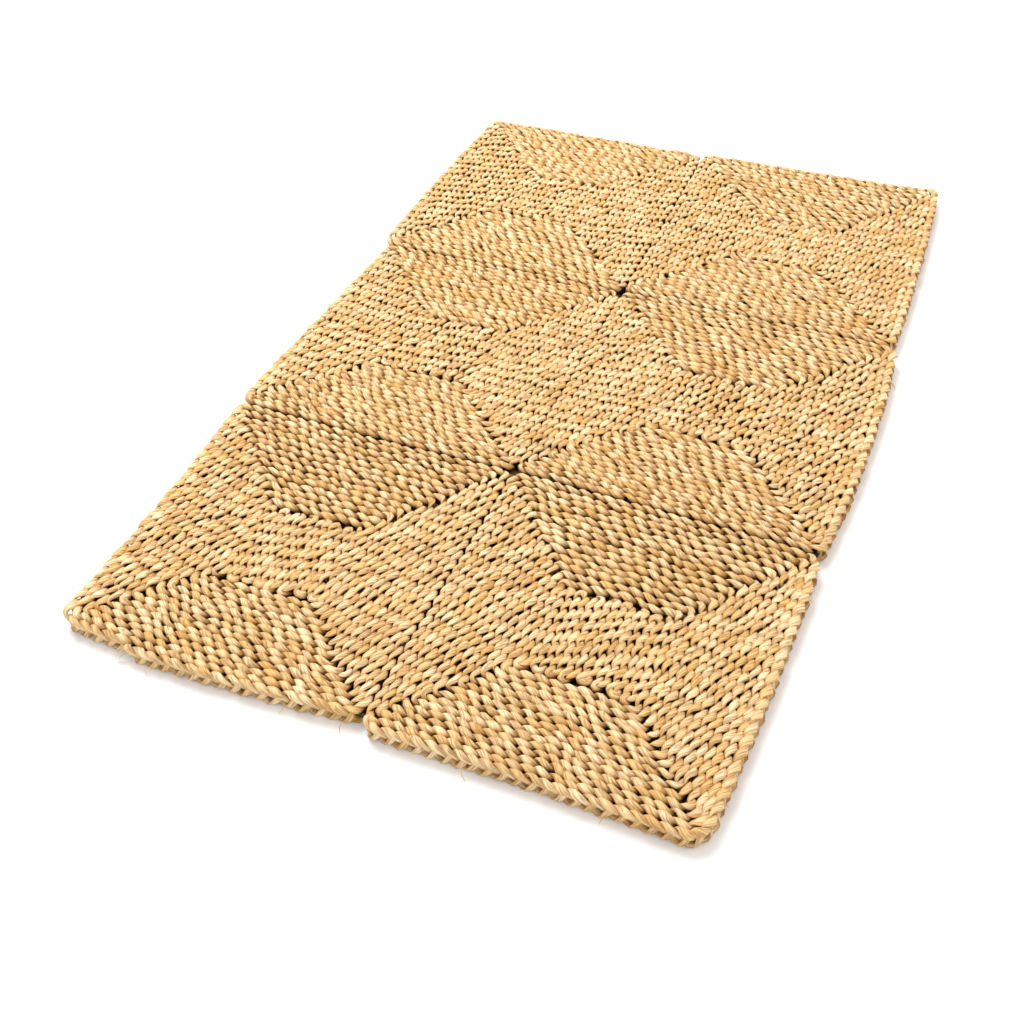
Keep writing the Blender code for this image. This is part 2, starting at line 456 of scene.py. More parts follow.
    def anchor(self, length: float, middle: np.ndarray, way: np.ndarray, stagger: float) -> RunAnchor:
        """Line the stitches of a straight row up with those of its square, but for a small slip.

        Args:
            length: Distance along the line to the row's middle, in mm.
            middle: The row's middle in the flat square.
            way: The direction in which the row runs.
            stagger: How far the row's stitches are shifted from the square's, in stitches.

        Returns:
            The row's middle with the twist that its stitches have there.
        """
        heading = Heading.ACROSS if abs(way[0]) > abs(way[1]) else Heading.DEEP
        along = middle[0] if heading is Heading.ACROSS else middle[1]
        sense = way[0] + way[1]
        slip = self.plait.slip_across if heading is Heading.ACROSS else self.plait.slip_deep
        rng = np.random.default_rng(self.plan.seed * ROW_SEEDS + round(length))
        stitches = along / self.plan.stitch - stagger + rng.uniform(-slip, slip)
        return RunAnchor(length, self.first_twist + LOBE_ANGLE * stitches * sense)

    def phase_along(self, length: np.ndarray, anchors: list[RunAnchor], bends: list[float]) -> np.ndarray:
        """Twist of the plait along the line.

        Between two straight rows the twist is stretched or squeezed near the bend, by less than half
        a stitch, so that both rows keep their stitches in line.

        Args:
            length: Distances along the line, in mm.
            anchors: The middles of the long rows.
            bends: Distances along the line to its bends, in mm.

        Returns:
            The twist at each distance, in degrees.
        """
        rate = LOBE_ANGLE / self.plan.stitch
        phase = anchors[0].phase + (length - anchors[0].length) * rate
        settled = anchors[0].phase
        for start, end in zip(anchors, anchors[1:]):
            expected = settled + (end.length - start.length) * rate
            target = end.phase + LOBE_ANGLE * round((expected - end.phase) / LOBE_ANGLE)
            passed = [bend for bend in bends if start.length < bend < end.length]
            middle = sum(passed) / len(passed)
            share = np.clip((length - middle) / (2 * self.blend_length) + 0.5, 0.0, 1.0)
            smooth = share * share * (3 - 2 * share)
            phase = phase + (target - expected) * smooth
            settled = target
        rng = np.random.default_rng(self.plan.seed)
        knots = np.arange(0.0, length[-1] + 2 * self.wobble_step, self.wobble_step)
        return phase + np.interp(length, knots, rng.normal(0.0, self.wobble, len(knots)))

    def wander(self, x: np.ndarray, y: np.ndarray) -> tuple[np.ndarray, np.ndarray]:
        """Shift the line by a slow wave that neighbouring rows share, fading at the square's edge.

        Args:
            x: Distances from the square's left side, in mm.
            y: Distances from the square's front side, in mm.

        Returns:
            The x and y of the shifted points, in mm.
        """
        rng = np.random.default_rng(self.plan.seed + WANDER_SEED)
        side = self.layout.side
        from_edge = np.minimum(np.minimum(x, side - x), np.minimum(y, side - y))
        fade = np.clip(from_edge / self.still_edge - self.still_share, 0.0, 1.0)
        shift_x = np.zeros_like(x)
        shift_y = np.zeros_like(y)
        circle = 2 * math.pi
        for wave in self.waves:
            turn_x, turn_y, lag_x, lag_y = rng.uniform(0, circle, 4)
            bend_x = self.wave_bend * np.sin(circle * x / self.wave_bend_length + lag_x)
            bend_y = self.wave_bend * np.sin(circle * y / self.wave_bend_length + lag_y)
            shift_x += np.sin(circle * y / wave + turn_x + bend_x)
            shift_y += np.sin(circle * x / wave + turn_y + bend_y)
        size = self.plait.wander * fade
        return x + size * shift_x, y + size * shift_y


@dataclass(frozen=True)
class StrandMesh:
    """Points and faces of a strand, with what its finish needs at every point.

    The grain is the point's place in the husk. The tone holds the lobe's paleness and its warmth,
    and for the painted shade how open the point is to the light and how near it lies to the strand's margin.
    """

    points: np.ndarray
    quads: np.ndarray
    caps: list[list[int]]
    margins: np.ndarray
    grain: np.ndarray
    tone: np.ndarray


@dataclass(frozen=True)
class Tube:
    """A closed tube of elliptic section round a line, with one ring of points at each of its stops.

    The section reaches half_width to both sides along `across`, and half_depth along `out`.
    """

    centre: np.ndarray
    across: np.ndarray
    out: np.ndarray
    half_width: np.ndarray
    half_depth: np.ndarray
    angles: np.ndarray

    def points(self) -> np.ndarray:
        """Place the points, ring by ring."""
        ring = self.across[:, None, :] * (self.half_width[:, None] * np.cos(self.angles))[:, :, None]
        ring = ring + self.out[:, None, :] * (self.half_depth[:, None] * np.sin(self.angles))[:, :, None]
        return (self.centre[:, None, :] + ring).reshape(-1, 3)

    def levelness(self) -> np.ndarray:
        """How far the surface looks up or down at each point, 0 to 1, one row for each ring."""
        normal = self.across[:, None, :] * (np.cos(self.angles) / self.half_width[:, None])[:, :, None]
        normal = normal + self.out[:, None, :] * (np.sin(self.angles) / self.half_depth[:, None])[:, :, None]
        return np.abs(normal[:, :, 2]) / np.linalg.norm(normal, axis=2)

    def quads(self) -> np.ndarray:
        """Join each ring to the next with four-sided faces."""
        sides = len(self.angles)
        base = np.arange(len(self.centre) - 1)[:, None] * sides
        side = np.arange(sides)[None, :]
        following = (side + 1) % sides
        return np.stack([base + side, base + following, base + sides + following, base + sides + side],
                        axis=2).reshape(-1, 4)

    def caps(self) -> list[list[int]]:
        """Close the first and the last ring with one face each."""
        sides = len(self.angles)
        last = (len(self.centre) - 1) * sides
        return [list(reversed(range(sides))), [last + index for index in range(sides)]]

    def margins(self) -> np.ndarray:
        """List the edges along the tube's two narrow sides, as pairs of points."""
        sides = len(self.angles)
        start = np.arange(len(self.centre) - 1)[:, None] * sides + np.array([[0, sides // 2]])
        return np.stack([start, start + sides], axis=2).reshape(-1, 2)

    def strand(self, along: np.ndarray, shifts: Pair, lobe: np.ndarray | float,
               warmth: np.ndarray | float, openness: np.ndarray | float) -> StrandMesh:
        """Dress the tube as a strand of husk.

        Args:
            along: How far along the husk's grain each ring lies, in mm.
            shifts: How far the strand's grain is shifted, so that no two strands look alike.
            lobe: How pale the husk is, 0 to 1.
            warmth: How golden the husk is, 0 to 1.
            openness: How open the surface is to the light, 0 to 1; where it is low, shade is painted into
                the colour.

        Returns:
            The strand.
        """
        grain = np.zeros((len(self.centre), len(self.angles), 3))
        grain[:, :, 0] = np.cos(self.angles) + shifts[0]
        grain[:, :, 1] = np.sin(self.angles) + shifts[1]
        grain[:, :, 2] = along[:, None]
        tone = np.zeros((len(self.centre), len(self.angles), 4))
        tone[:, :, 0] = lobe
        tone[:, :, 1] = warmth
        # How open to the light; painted shade darkens the colour where this is low.
        tone[:, :, 2] = openness
        # Nearness to the strip's margin, where painted shade darkens the colour.
        tone[:, :, 3] = np.abs(np.cos(self.angles))
        return StrandMesh(self.points(), self.quads(), self.caps(), self.margins(),
                          grain.reshape(-1, 3), tone.reshape(-1, 4))


@dataclass
class LobeDraw:
    """Random values that ease from one lobe of a strand to the next."""

    twist: np.ndarray
    rng: np.random.Generator

    def knots(self) -> np.ndarray:
        """Twist at the middle of each lobe, a half turn apart."""
        first = math.floor(self.twist[0] / HALF_TURN) - 1
        last = math.ceil(self.twist[-1] / HALF_TURN) + 2
        return np.arange(first, last) * HALF_TURN + HALF_TURN / 2

    def uneven(self, spread: float) -> np.ndarray:
        """Draw a value for each lobe round 0, none more than twice the spread away."""
        drawn = self.rng.normal(0.0, spread, len(self.knots()))
        return np.interp(self.twist, self.knots(), np.clip(drawn, -2 * spread, 2 * spread))

    def shade(self) -> np.ndarray:
        """Draw a value for each lobe, evenly from 0 to 1."""
        return np.interp(self.twist, self.knots(), self.rng.uniform(0, 1, len(self.knots())))


@dataclass(frozen=True)
class LightReach:
    """How light gets in between the rows, for the shade painted into the husk's colour: heights and depths
    in mm, the rest as shares.
    """

    dark_height: float = 0.5
    fade_height: float = 5.0
    on_slopes: float = 0.72
    on_tops: float = 0.28
    rim_depth: float = 6.0
    rim_strength: float = 1.6


@dataclass(frozen=True)
class PlaitedSquare:
    """One square of the rug: three strands of husk, plaited along the square's route.

    Stops are the twists in degrees at which a strand gets a ring of points.
    """

    layout: RugLayout
    plait: PlaitSize
    plan: SquarePlan
    light: LightReach = LightReach()
    section_angles: tuple[float, ...] = (0.0, 58.0, 122.0, 180.0, 238.0, 302.0)
    coarse_stops: tuple[float, ...] = (0.0, 40.0, 60.0, 80.0, 100.0, 120.0, 140.0, 180.0,
                                       222.0, 256.0, 284.0, 318.0)
    fine_stops: tuple[float, ...] = (0.0, 20.0, 38.0, 56.0, 73.0, 90.0, 107.0, 124.0, 142.0, 160.0,
                                     180.0, 200.0, 222.0, 246.0, 270.0, 294.0, 318.0, 340.0)
    end_stop_gap: float = 4.0
    end_taper: float = 0.5
    grain_shift: float = 4.0
    rim_gain: float = 1.5
    floor_clearance: float = 0.05

    def strand_stops(self, route: Route, strand: int) -> tuple[np.ndarray, np.ndarray]:
        """Choose where a strand gets a ring of points.

        Args:
            route: The square's route.
            strand: Which of the three strands.

        Returns:
            The twist of each ring in degrees, and its distance along the route in mm.
        """
        twist = route.phase + LOBE_ANGLE * strand
        outer_twist = np.interp(route.outer_start, route.length, twist)
        stops = []
        for turn in range(math.floor(twist[0] / FULL_TURN), math.ceil(twist[-1] / FULL_TURN) + 1):
            pattern = self.fine_stops if turn * FULL_TURN > outer_twist else self.coarse_stops
            stops += [turn * FULL_TURN + stop for stop in pattern]
        stops = np.array(stops)
        first, last = twist[0], twist[-1]
        stops = stops[(stops > first + self.end_stop_gap) & (stops < last - self.end_stop_gap)]
        stops = np.concatenate([[first], stops, [last]])
        return stops, np.interp(stops, twist, route.length)

    def strand_tube(self, route: Route, length: np.ndarray, lobes: LobeDraw) -> Tube:
        """Sweep a flattened section along one strand of the plait.

        The strand goes over and under the other two as it twists, and rolls so that its flat side
        lies on the crests. A lobe's near end may lie over the far end of the next.

        Args:
            route: The square's route.
            length: Distance along the route to each ring, in mm.
            lobes: The strand's twist and its random values.

        Returns:
            The strand's tube in the flat square.
        """
        plait = self.plait
        angle = np.radians(lobes.twist + lobes.uneven(plait.phase_jitter))
        sine, cosine = np.sin(angle), np.cos(angle)
        rate = np.gradient(np.radians(lobes.twist), length)
        path_x, path_y, way_x, way_y = route.at(length)
        forward = way_x * plait.lap_heading[0] + way_y * plait.lap_heading[1]
        shape = plait.across.towards(plait.deep, way_y ** 2)
        flatness = shape.crest_flatness
        lap = -shape.lap_lift * cosine * forward * np.sqrt(np.clip(sine, 0.0, 1.0))
        crown = (sine + flatness * np.sin(3 * angle)) / (1 - flatness)
        lift = plait.half_height * crown + lap + lobes.uneven(plait.height_jitter)
        aside = shape.half_spread * np.sin(2 * angle) * (1 - plait.lap_inset * lap)
        aside = aside + lobes.uneven(plait.spread_jitter)
        width = 1.0 + lobes.uneven(plait.width_jitter)
        width *= 1.0 - plait.seam_slimness * self.seam_nearness(path_y)
        width *= (1.0 + plait.lap_width * lap) * (1.0 + plait.rim_fullness * self.rim_nearness(path_x))
        level = np.zeros_like(way_x)
        left = np.stack([-way_y, way_x, level], axis=1)
        up = np.array([0.0, 0.0, 1.0])
        centre = np.stack([path_x, path_y, level + plait.mid_height], axis=1)
        centre = centre + left * aside[:, None] + up * lift[:, None]
        rise = (cosine + 3 * flatness * np.cos(3 * angle)) / (1 - flatness)
        along = np.stack([way_x, way_y, level], axis=1)
        along = along + left * (2 * shape.half_spread * np.cos(2 * angle) * rate)[:, None]
        along = unit_rows(along + up * (plait.half_height * rise * rate)[:, None])
        lean = np.sign(cosine) * np.abs(cosine) ** shape.roll_sharpness
        roll = math.pi / 2 * (1 - np.clip(shape.roll_rate * lean, -1, 1))
        out = left * np.cos(roll)[:, None] + up * np.sin(roll)[:, None]
        out = unit_rows(out - along * np.sum(out * along, axis=1)[:, None])
        crest = np.abs(sine) ** 2
        half_width = width * between(shape.flat_half_width, shape.crest_half_width, crest)
        half_depth = between(shape.flat_half_thickness, shape.crest_half_thickness, crest)
        half_width[[0, -1]] *= self.end_taper
        half_depth[[0, -1]] *= self.end_taper
        return Tube(centre, np.cross(along, out), out, half_width, half_depth,
                    np.radians(self.section_angles))

    def make_strand(self, route: Route, strand: int) -> StrandMesh:
        """Make one of the three strands, in the flat square.

        The grain runs to and fro, because a long strand is made of many husks.

        Args:
            route: The square's route.
            strand: Which of the three strands.

        Returns:
            The strand as a closed tube.
        """
        twist, length = self.strand_stops(route, strand)
        lobes = LobeDraw(twist, np.random.default_rng(self.plan.seed * STRAND_SEEDS + strand))
        tube = self.strand_tube(route, length, lobes)
        steps = np.linalg.norm(np.diff(tube.centre, axis=0), axis=1)
        spent = np.concatenate([[0.0], np.cumsum(steps)])
        fold = self.plait.grain_fold
        mesh = tube.strand(
            along=np.abs(spent % (2 * fold) - fold),
            shifts=(self.grain_shift * strand, self.grain_shift * self.plan.seed),
            lobe=lobes.shade()[:, None],
            warmth=lobes.shade()[:, None],
            openness=tube.levelness())
        # Painted shade: the colour darkens where light reaches less, deep between rows and on slopes, but
        # not at the rug's rim.
        x, y, z = mesh.points.T
        mesh.tone[:, 2] = self.openness(x, y, z, mesh.tone[:, 2])
        return mesh

    def rim_nearness(self, x: np.ndarray) -> np.ndarray:
        """How near each point lies to the rug's left or right rim, where the plait is fuller: 0 to 1."""
        from_rim = x if self.plan.column == 0 else self.layout.side - x
        return np.clip(self.rim_gain - self.rim_gain * from_rim / self.plait.rim_reach, 0.0, 1.0)

    def seam_nearness(self, y: np.ndarray) -> np.ndarray:
        """Tell where the plait is pulled tight by a seam across the rug.

        Args:
            y: Distances from the square's front side, in mm.

        Returns:
            How near each point lies to a seam, 0 to 1.
        """
        front = (self.plan.row > 0) * np.exp(-y / self.plait.seam_reach)
        back = (self.plan.row < LAST_ROW) * np.exp((y - self.layout.side) / self.plait.seam_reach)
        return front + back

    def rim_distance(self, x: np.ndarray, y: np.ndarray) -> np.ndarray:
        """Measure how far points lie from the rug's rim, round its rounded corners too.

        Args:
            x: Distances from the square's left side, in mm.
            y: Distances from the square's front side, in mm.

        Returns:
            The distances from the rim, in mm.
        """
        plan = self.plan
        side = self.layout.side
        short_row = self.layout.line_places(plan, plan.turns - 1).front
        front = np.where((x < plan.tail) & plan.tail_is_tucked(), y - short_row, y)
        across = x if plan.column == 0 else side - x
        deep = {0: front, 1: np.full_like(x, side), LAST_ROW: side - y}[plan.row]
        radius = {
            (0, 0): plan.radii.front_left,
            (LAST_COLUMN, 0): plan.radii.front_right,
            (LAST_COLUMN, LAST_ROW): plan.radii.back_right,
            (0, LAST_ROW): plan.radii.back_left,
        }.get((plan.column, plan.row), 0.0)
        in_corner = (across < radius) & (deep < radius)
        to_arc = radius - np.hypot(radius - across, radius - deep)
        return np.where(in_corner, to_arc, np.minimum(across, deep))

    def openness(self, x: np.ndarray, y: np.ndarray, z: np.ndarray, levelness: np.ndarray) -> np.ndarray:
        """Tell how open to the light each point is, for the shade painted into the husk's colour.

        Args:
            x: Distances from the square's left side, in mm.
            y: Distances from the square's front side, in mm.
            z: Heights above the floor, in mm.
            levelness: How far the surface looks up or down there, 0 to 1.

        Returns:
            1 on the crests and the rug's rim, less on their slopes, and 0 deep between rows.
        """
        light = self.light
        height = np.abs(z - self.plait.mid_height)
        raised = np.clip((height - light.dark_height) / light.fade_height, 0.0, 1.0)
        raised = raised * (light.on_slopes + light.on_tops * levelness)
        inward = light.rim_depth - self.rim_distance(x, y)
        return np.maximum(raised, np.clip(light.rim_strength * inward / light.rim_depth, 0.0, 1.0))

    def build(self, route: Route, material: bpy.types.Material) -> bpy.types.Object:
        """Make the square's object from its three strands and put it in place of its solid.

        Args:
            route: The square's route.
            material: The husk finish.

        Returns:
            The square's object.
        """
        strands = []
        for index in range(STRANDS):
            strand = self.make_strand(route, index)
            x, y, z = strand.points.T
            x, y = self.layout.lay_out(self.plan, x, y)
            points = np.stack([x, y, np.clip(z, self.floor_clearance, None)], axis=1)
            strands.append(replace(strand, points=points))
        piece = join_strands("plait_" + self.plan.name, strands, material)
        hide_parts(self.plan.name)
        return piece


@dataclass(frozen=True)
class Wisp:
    """A thin strip of husk that sticks out of the rug's edge; sizes in mm, angles in degrees."""

    x: float
    y: float
    z: float
    heading: float
    length: float
    width: float
    curl: float
    drop: float


@dataclass(frozen=True)
class FrayedEnds:
    """The loose ends of husk round the rug's edge and at the end of its last rows; sizes in mm."""

    wisps: tuple[Wisp, ...]
    thickness: float = 0.5
    rings: int = 10
    section_angles: tuple[float, ...] = (0.0, 90.0, 180.0, 270.0)
    taper: float = 0.8
    tilt: float = 0.6
    middle_clearance: float = 0.4
    floor_clearance: float = 0.1
    grain_shift: float = 4.0
    warmths: Pair = (0.4, 1.0)

    def strip(self, wisp: Wisp, seed: int) -> StrandMesh:
        """Sweep one wisp as a flat strip that narrows to a point.

        Args:
            wisp: The wisp.
            seed: Picks its colour.

        Returns:
            The wisp as a closed strip.
        """
        share = np.linspace(0.0, 1.0, self.rings)
        heading = np.radians(wisp.heading + wisp.curl * share)
        step = wisp.length / (self.rings - 1)
        x = wisp.x + np.concatenate([[0.0], np.cumsum(np.cos(heading[:-1]))]) * step
        y = wisp.y + np.concatenate([[0.0], np.cumsum(np.sin(heading[:-1]))]) * step
        z = np.clip(wisp.z - wisp.drop * share ** 2, self.middle_clearance, None)
        aside = np.stack([-np.sin(heading), np.cos(heading), np.full_like(share, self.tilt)], axis=1)
        aside = unit_rows(aside)
        along = np.stack([np.cos(heading), np.sin(heading), np.zeros_like(share)], axis=1)
        tube = Tube(
            centre=np.stack([x, y, z], axis=1),
            across=aside,
            out=np.cross(along, aside),
            half_width=wisp.width / 2 * (1 - self.taper * share ** 2),
            half_depth=np.full_like(share, self.thickness / 2),
            angles=np.radians(self.section_angles))
        mesh = tube.strand(along=share * wisp.length, shifts=(self.grain_shift * seed, 0.0),
                           lobe=1.0, warmth=self.warmths[seed % 2], openness=1.0)
        mesh.points[:, 2] = np.clip(mesh.points[:, 2], self.floor_clearance, None)
        return mesh

    def build(self, material: bpy.types.Material) -> bpy.types.Object:
        """Make one object of all the wisps, in the husk finish."""
        strips = [self.strip(wisp, seed) for seed, wisp in enumerate(self.wisps)]
        return join_strands("frayed_ends", strips, material)


def join_strands(name: str, strands: list[StrandMesh], material: bpy.types.Material) -> bpy.types.Object:
    """Make one piece of the rug from several strands.

    Args:
        name: The piece's name.
        strands: The strands, placed in the rug, in mm.
        material: The husk finish.

    Returns:
        The piece, riding on the rug.
    """
    offsets = np.cumsum([0] + [len(strand.points) for strand in strands])
    points = np.concatenate([strand.points for strand in strands]) * MM
    quads = np.concatenate([strand.quads + offset for strand, offset in zip(strands, offsets)])
    margins = np.concatenate([strand.margins + offset for strand, offset in zip(strands, offsets)])
    caps = []
    for strand, offset in zip(strands, offsets):
        caps += [[index + offset for index in cap] for cap in strand.caps]
    piece = mesh_object(name, points, quads, caps)
    mark_sharp(piece.data, margins)
    grain = np.concatenate([strand.grain for strand in strands])
    tone = np.concatenate([strand.tone for strand in strands])
    grain_values = piece.data.attributes.new("husk_grain", "FLOAT_VECTOR", "POINT")
    grain_values.data.foreach_set("vector", grain.astype(np.float32).ravel())
    tone_and_shade_values = piece.data.attributes.new("husk_tone_and_shade", "FLOAT_COLOR", "POINT")
    tone_and_shade_values.data.foreach_set("color", tone.astype(np.float32).ravel())
    piece.data.materials.append(material)
    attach(piece, "root")
    return piece


def mesh_object(name: str, points: np.ndarray, quads: np.ndarray, caps: list[list[int]]) -> bpy.types.Object:
    """Make an object from arrays of points and faces.

    Args:
        name: The object's name.
        points: Points in metres.
        quads: Four-sided faces.
        caps: Faces with more sides that close the ends.

    Returns:
        The new object, shaded smooth.
    """
    data = bpy.data.meshes.new(name)
    cap_corners = np.array([corner for cap in caps for corner in cap], dtype=np.int64)
    face_corners = np.concatenate([quads.reshape(-1), cap_corners])
    counts = np.concatenate([np.full(len(quads), 4), np.array([len(cap) for cap in caps], dtype=np.int64)])
    starts = np.concatenate([[0], np.cumsum(counts)[:-1]])
    data.vertices.add(len(points))
    data.vertices.foreach_set("co", points.astype(np.float32).ravel())
    data.loops.add(len(face_corners))
    data.loops.foreach_set("vertex_index", face_corners.astype(np.int32))
    data.polygons.add(len(counts))
    data.polygons.foreach_set("loop_start", starts.astype(np.int32))
    data.polygons.foreach_set("use_smooth", np.ones(len(counts), dtype=bool))
    data.update(calc_edges=True)
    data.validate()
    return add_object(name, data)


def add_object(name: str, data: bpy.types.ID) -> bpy.types.Object:
    """Put an object with this mesh, light or camera into the scene."""
    thing = bpy.data.objects.new(name, data)
    bpy.context.scene.collection.objects.link(thing)
    return thing


def mark_sharp(data: bpy.types.Mesh, edges: np.ndarray) -> None:
    """Keep some edges of a smooth mesh crisp.

    Args:
        data: The mesh.
        edges: Pairs of points that the crisp edges join.
    """
    ends = np.zeros(len(data.edges) * 2, dtype=np.int32)
    data.edges.foreach_get("vertices", ends)
    ends = np.sort(ends.reshape(-1, 2).astype(np.int64), axis=1)
    wanted = np.sort(edges.astype(np.int64), axis=1)
    size = len(data.vertices)
    sharp = np.isin(ends[:, 0] * size + ends[:, 1], wanted[:, 0] * size + wanted[:, 1])
    data.edges.foreach_set("use_edge_sharp", sharp)


@dataclass(frozen=True)
class Reach:
    """Over which values of a mask a colour comes in, and how much of it there is at most."""

    start: float
    end: float
    most: float = 1.0


@dataclass(frozen=True)
class GrainNoise:
    """A noise drawn out along the husk: how fast it changes round the strand and along it."""

    around: float
    along: float
    detail: float


@dataclass(frozen=True)
class HuskFinish:
    """Dried corn husk: pale straw with golden and rusty stretches, fine veins and a satin sheen, with
    painted shade: rust-brown along the strips' margins, ochre on slopes and near black deep between rows.
    """

    pale: Colour = (0.92, 0.71, 0.41)
    straw: Colour = (0.80, 0.55, 0.27)
    golden: Colour = (0.76, 0.45, 0.14)
    # Rust-brown stretches of the husk; the same colour is the painted shade along the strips' margins.
    rust_and_margin_shade: Colour = (0.42, 0.17, 0.035)
    # Painted shade: warm ochre on slopes, near black deep between rows.
    painted_shade_ochre: Colour = (0.74, 0.37, 0.08)
    deep: Colour = (0.015, 0.006, 0.001)
    pale_lobes: Reach = Reach(0.15, 0.75)
    warm_lobes: Reach = Reach(0.45, 0.95, 0.80)
    rusty_clouds: Reach = Reach(0.58, 0.78, 0.60)
    dark_veins: Reach = Reach(0.52, 0.75, 0.50)
    dark_creases: Reach = Reach(0.0, 1.0, 0.70)
    # Painted shade along the strips' margins.
    painted_margin_shade: Reach = Reach(0.74, 1.0, 0.70)
    # Painted shade on slopes and deep between rows, where light reaches less.
    painted_slope_shade: Reach = Reach(0.97, 0.45, 0.90)
    painted_gap_shade: Reach = Reach(0.72, 0.32)
    crease_width: Reach = Reach(0.05, 0.0)
    veins: GrainNoise = GrainNoise(4.5, 0.05, 3.0)
    clouds: GrainNoise = GrainNoise(0.8, 0.035, 2.0)
    creases: GrainNoise = GrainNoise(1.5, 0.03, 1.0)
    roughness: float = 0.5
    specular: float = 0.25
    bump_strength: float = 0.7
    bump_height: float = 0.0011

    def build(self) -> bpy.types.Material:
        """Make the husk material.

        Returns:
            The material.
        """
        material = bpy.data.materials.new("corn_husk")
        material.use_nodes = True
        tree = material.node_tree
        shader = tree.nodes["Principled BSDF"]
        shader.inputs["Specular IOR Level"].default_value = self.specular
        shader.inputs["Roughness"].default_value = self.roughness
        grain = tree.nodes.new("ShaderNodeAttribute")
        grain.attribute_name = "husk_grain"
        tone = tree.nodes.new("ShaderNodeAttribute")
        tone.attribute_name = "husk_tone_and_shade"
        parts = tree.nodes.new("ShaderNodeSeparateColor")
        tree.links.new(tone.outputs["Color"], parts.inputs["Color"])
        lobe, warmth, openness = (parts.outputs[name] for name in ("Red", "Green", "Blue"))
        veins = self.grain_noise(tree, grain, self.veins)
        clouds = self.grain_noise(tree, grain, self.clouds)
        creases = self.crease_mask(tree, self.grain_noise(tree, grain, self.creases))
        colour = self.lay_over(tree, lobe, self.straw, self.pale, self.pale_lobes)
        for mask, over, reach in (
            (warmth, self.golden, self.warm_lobes),
            (clouds, self.rust_and_margin_shade, self.rusty_clouds),
            (veins, self.rust_and_margin_shade, self.dark_veins),
            (creases, self.rust_and_margin_shade, self.dark_creases),
            # Painted shade along the strips' margins.
            (tone.outputs["Alpha"], self.rust_and_margin_shade, self.painted_margin_shade),
            # Painted shade on slopes and deep between rows.
            (openness, self.painted_shade_ochre, self.painted_slope_shade),
            (openness, self.deep, self.painted_gap_shade),
        ):
            colour = self.lay_over(tree, mask, colour, over, reach)
        tree.links.new(colour, shader.inputs["Base Color"])
        bump = tree.nodes.new("ShaderNodeBump")
        bump.inputs["Strength"].default_value = self.bump_strength
        bump.inputs["Distance"].default_value = self.bump_height
        height = self.compute(tree, "SUBTRACT", veins)
        tree.links.new(creases, height.inputs[1])
        tree.links.new(height.outputs["Value"], bump.inputs["Height"])
        tree.links.new(bump.outputs["Normal"], shader.inputs["Normal"])
        return material

    def crease_mask(self, tree: bpy.types.NodeTree, noise: bpy.types.NodeSocket) -> bpy.types.NodeSocket:
        """Draw thin creases where a noise passes its middle value.

        Args:
            tree: The material's nodes.
            noise: The noise that the creases follow.

        Returns:
            1 in the creases, falling to 0 beside them.
        """
        centred = self.compute(tree, "SUBTRACT", noise)
        centred.inputs[1].default_value = 0.5
        distance = self.compute(tree, "ABSOLUTE", centred.outputs["Value"])
        return self.ranged(tree, distance.outputs["Value"], self.crease_width)

    def compute(self, tree: bpy.types.NodeTree, operation: str,
                value: bpy.types.NodeSocket) -> bpy.types.Node:
        """Add a calculation to the material.

        Args:
            tree: The material's nodes.
            operation: Blender's name for the calculation.
            value: Its first value.

        Returns:
            The node that calculates.
        """
        node = tree.nodes.new("ShaderNodeMath")
        node.operation = operation
        tree.links.new(value, node.inputs[0])
        return node

    def grain_noise(self, tree: bpy.types.NodeTree, grain: bpy.types.Node,
                    noise: GrainNoise) -> bpy.types.NodeSocket:
        """Add a noise drawn out along the husk.

        Args:
            tree: The material's nodes.
            grain: The node that gives each point's place on its strand.
            noise: The noise's sizes.

        Returns:
            The noise, from 0 to 1.
        """
        stretch = tree.nodes.new("ShaderNodeVectorMath")
        stretch.operation = "MULTIPLY"
        stretch.inputs[1].default_value = (noise.around, noise.around, noise.along)
        tree.links.new(grain.outputs["Vector"], stretch.inputs[0])
        texture = tree.nodes.new("ShaderNodeTexNoise")
        texture.inputs["Scale"].default_value = 1.0
        texture.inputs["Detail"].default_value = noise.detail
        tree.links.new(stretch.outputs["Vector"], texture.inputs["Vector"])
        return texture.outputs["Fac"]

    def lay_over(self, tree: bpy.types.NodeTree, mask: bpy.types.NodeSocket,
                 under: bpy.types.NodeSocket | Colour, over: Colour, reach: Reach) -> bpy.types.NodeSocket:
        """Lay a plain colour over another as a mask passes through a range.

        Args:
            tree: The material's nodes.
            mask: The mask.
            under: The colour below.
            over: The colour that comes in.
            reach: The range, and how much of the colour there is at its end.

        Returns:
            The blended colour.
        """
        blend = tree.nodes.new("ShaderNodeMix")
        blend.data_type = "RGBA"
        blend.inputs["B"].default_value = (*over, 1.0)
        if isinstance(under, tuple):
            blend.inputs["A"].default_value = (*under, 1.0)
        else:
            tree.links.new(under, blend.inputs["A"])
        tree.links.new(self.ranged(tree, mask, reach), blend.inputs["Factor"])
        return blend.outputs["Result"]

    def ranged(self, tree: bpy.types.NodeTree, value: bpy.types.NodeSocket,
               reach: Reach) -> bpy.types.NodeSocket:
        """Map a value's range onto 0 to the most that the range gives.

        Args:
            tree: The material's nodes.
            value: The value.
            reach: The range.

        Returns:
            The mapped value.
        """
        span = tree.nodes.new("ShaderNodeMapRange")
        span.inputs["From Min"].default_value = reach.start
        span.inputs["From Max"].default_value = reach.end
        span.inputs["To Max"].default_value = reach.most
        tree.links.new(value, span.inputs["Value"])
        return span.outputs["Result"]


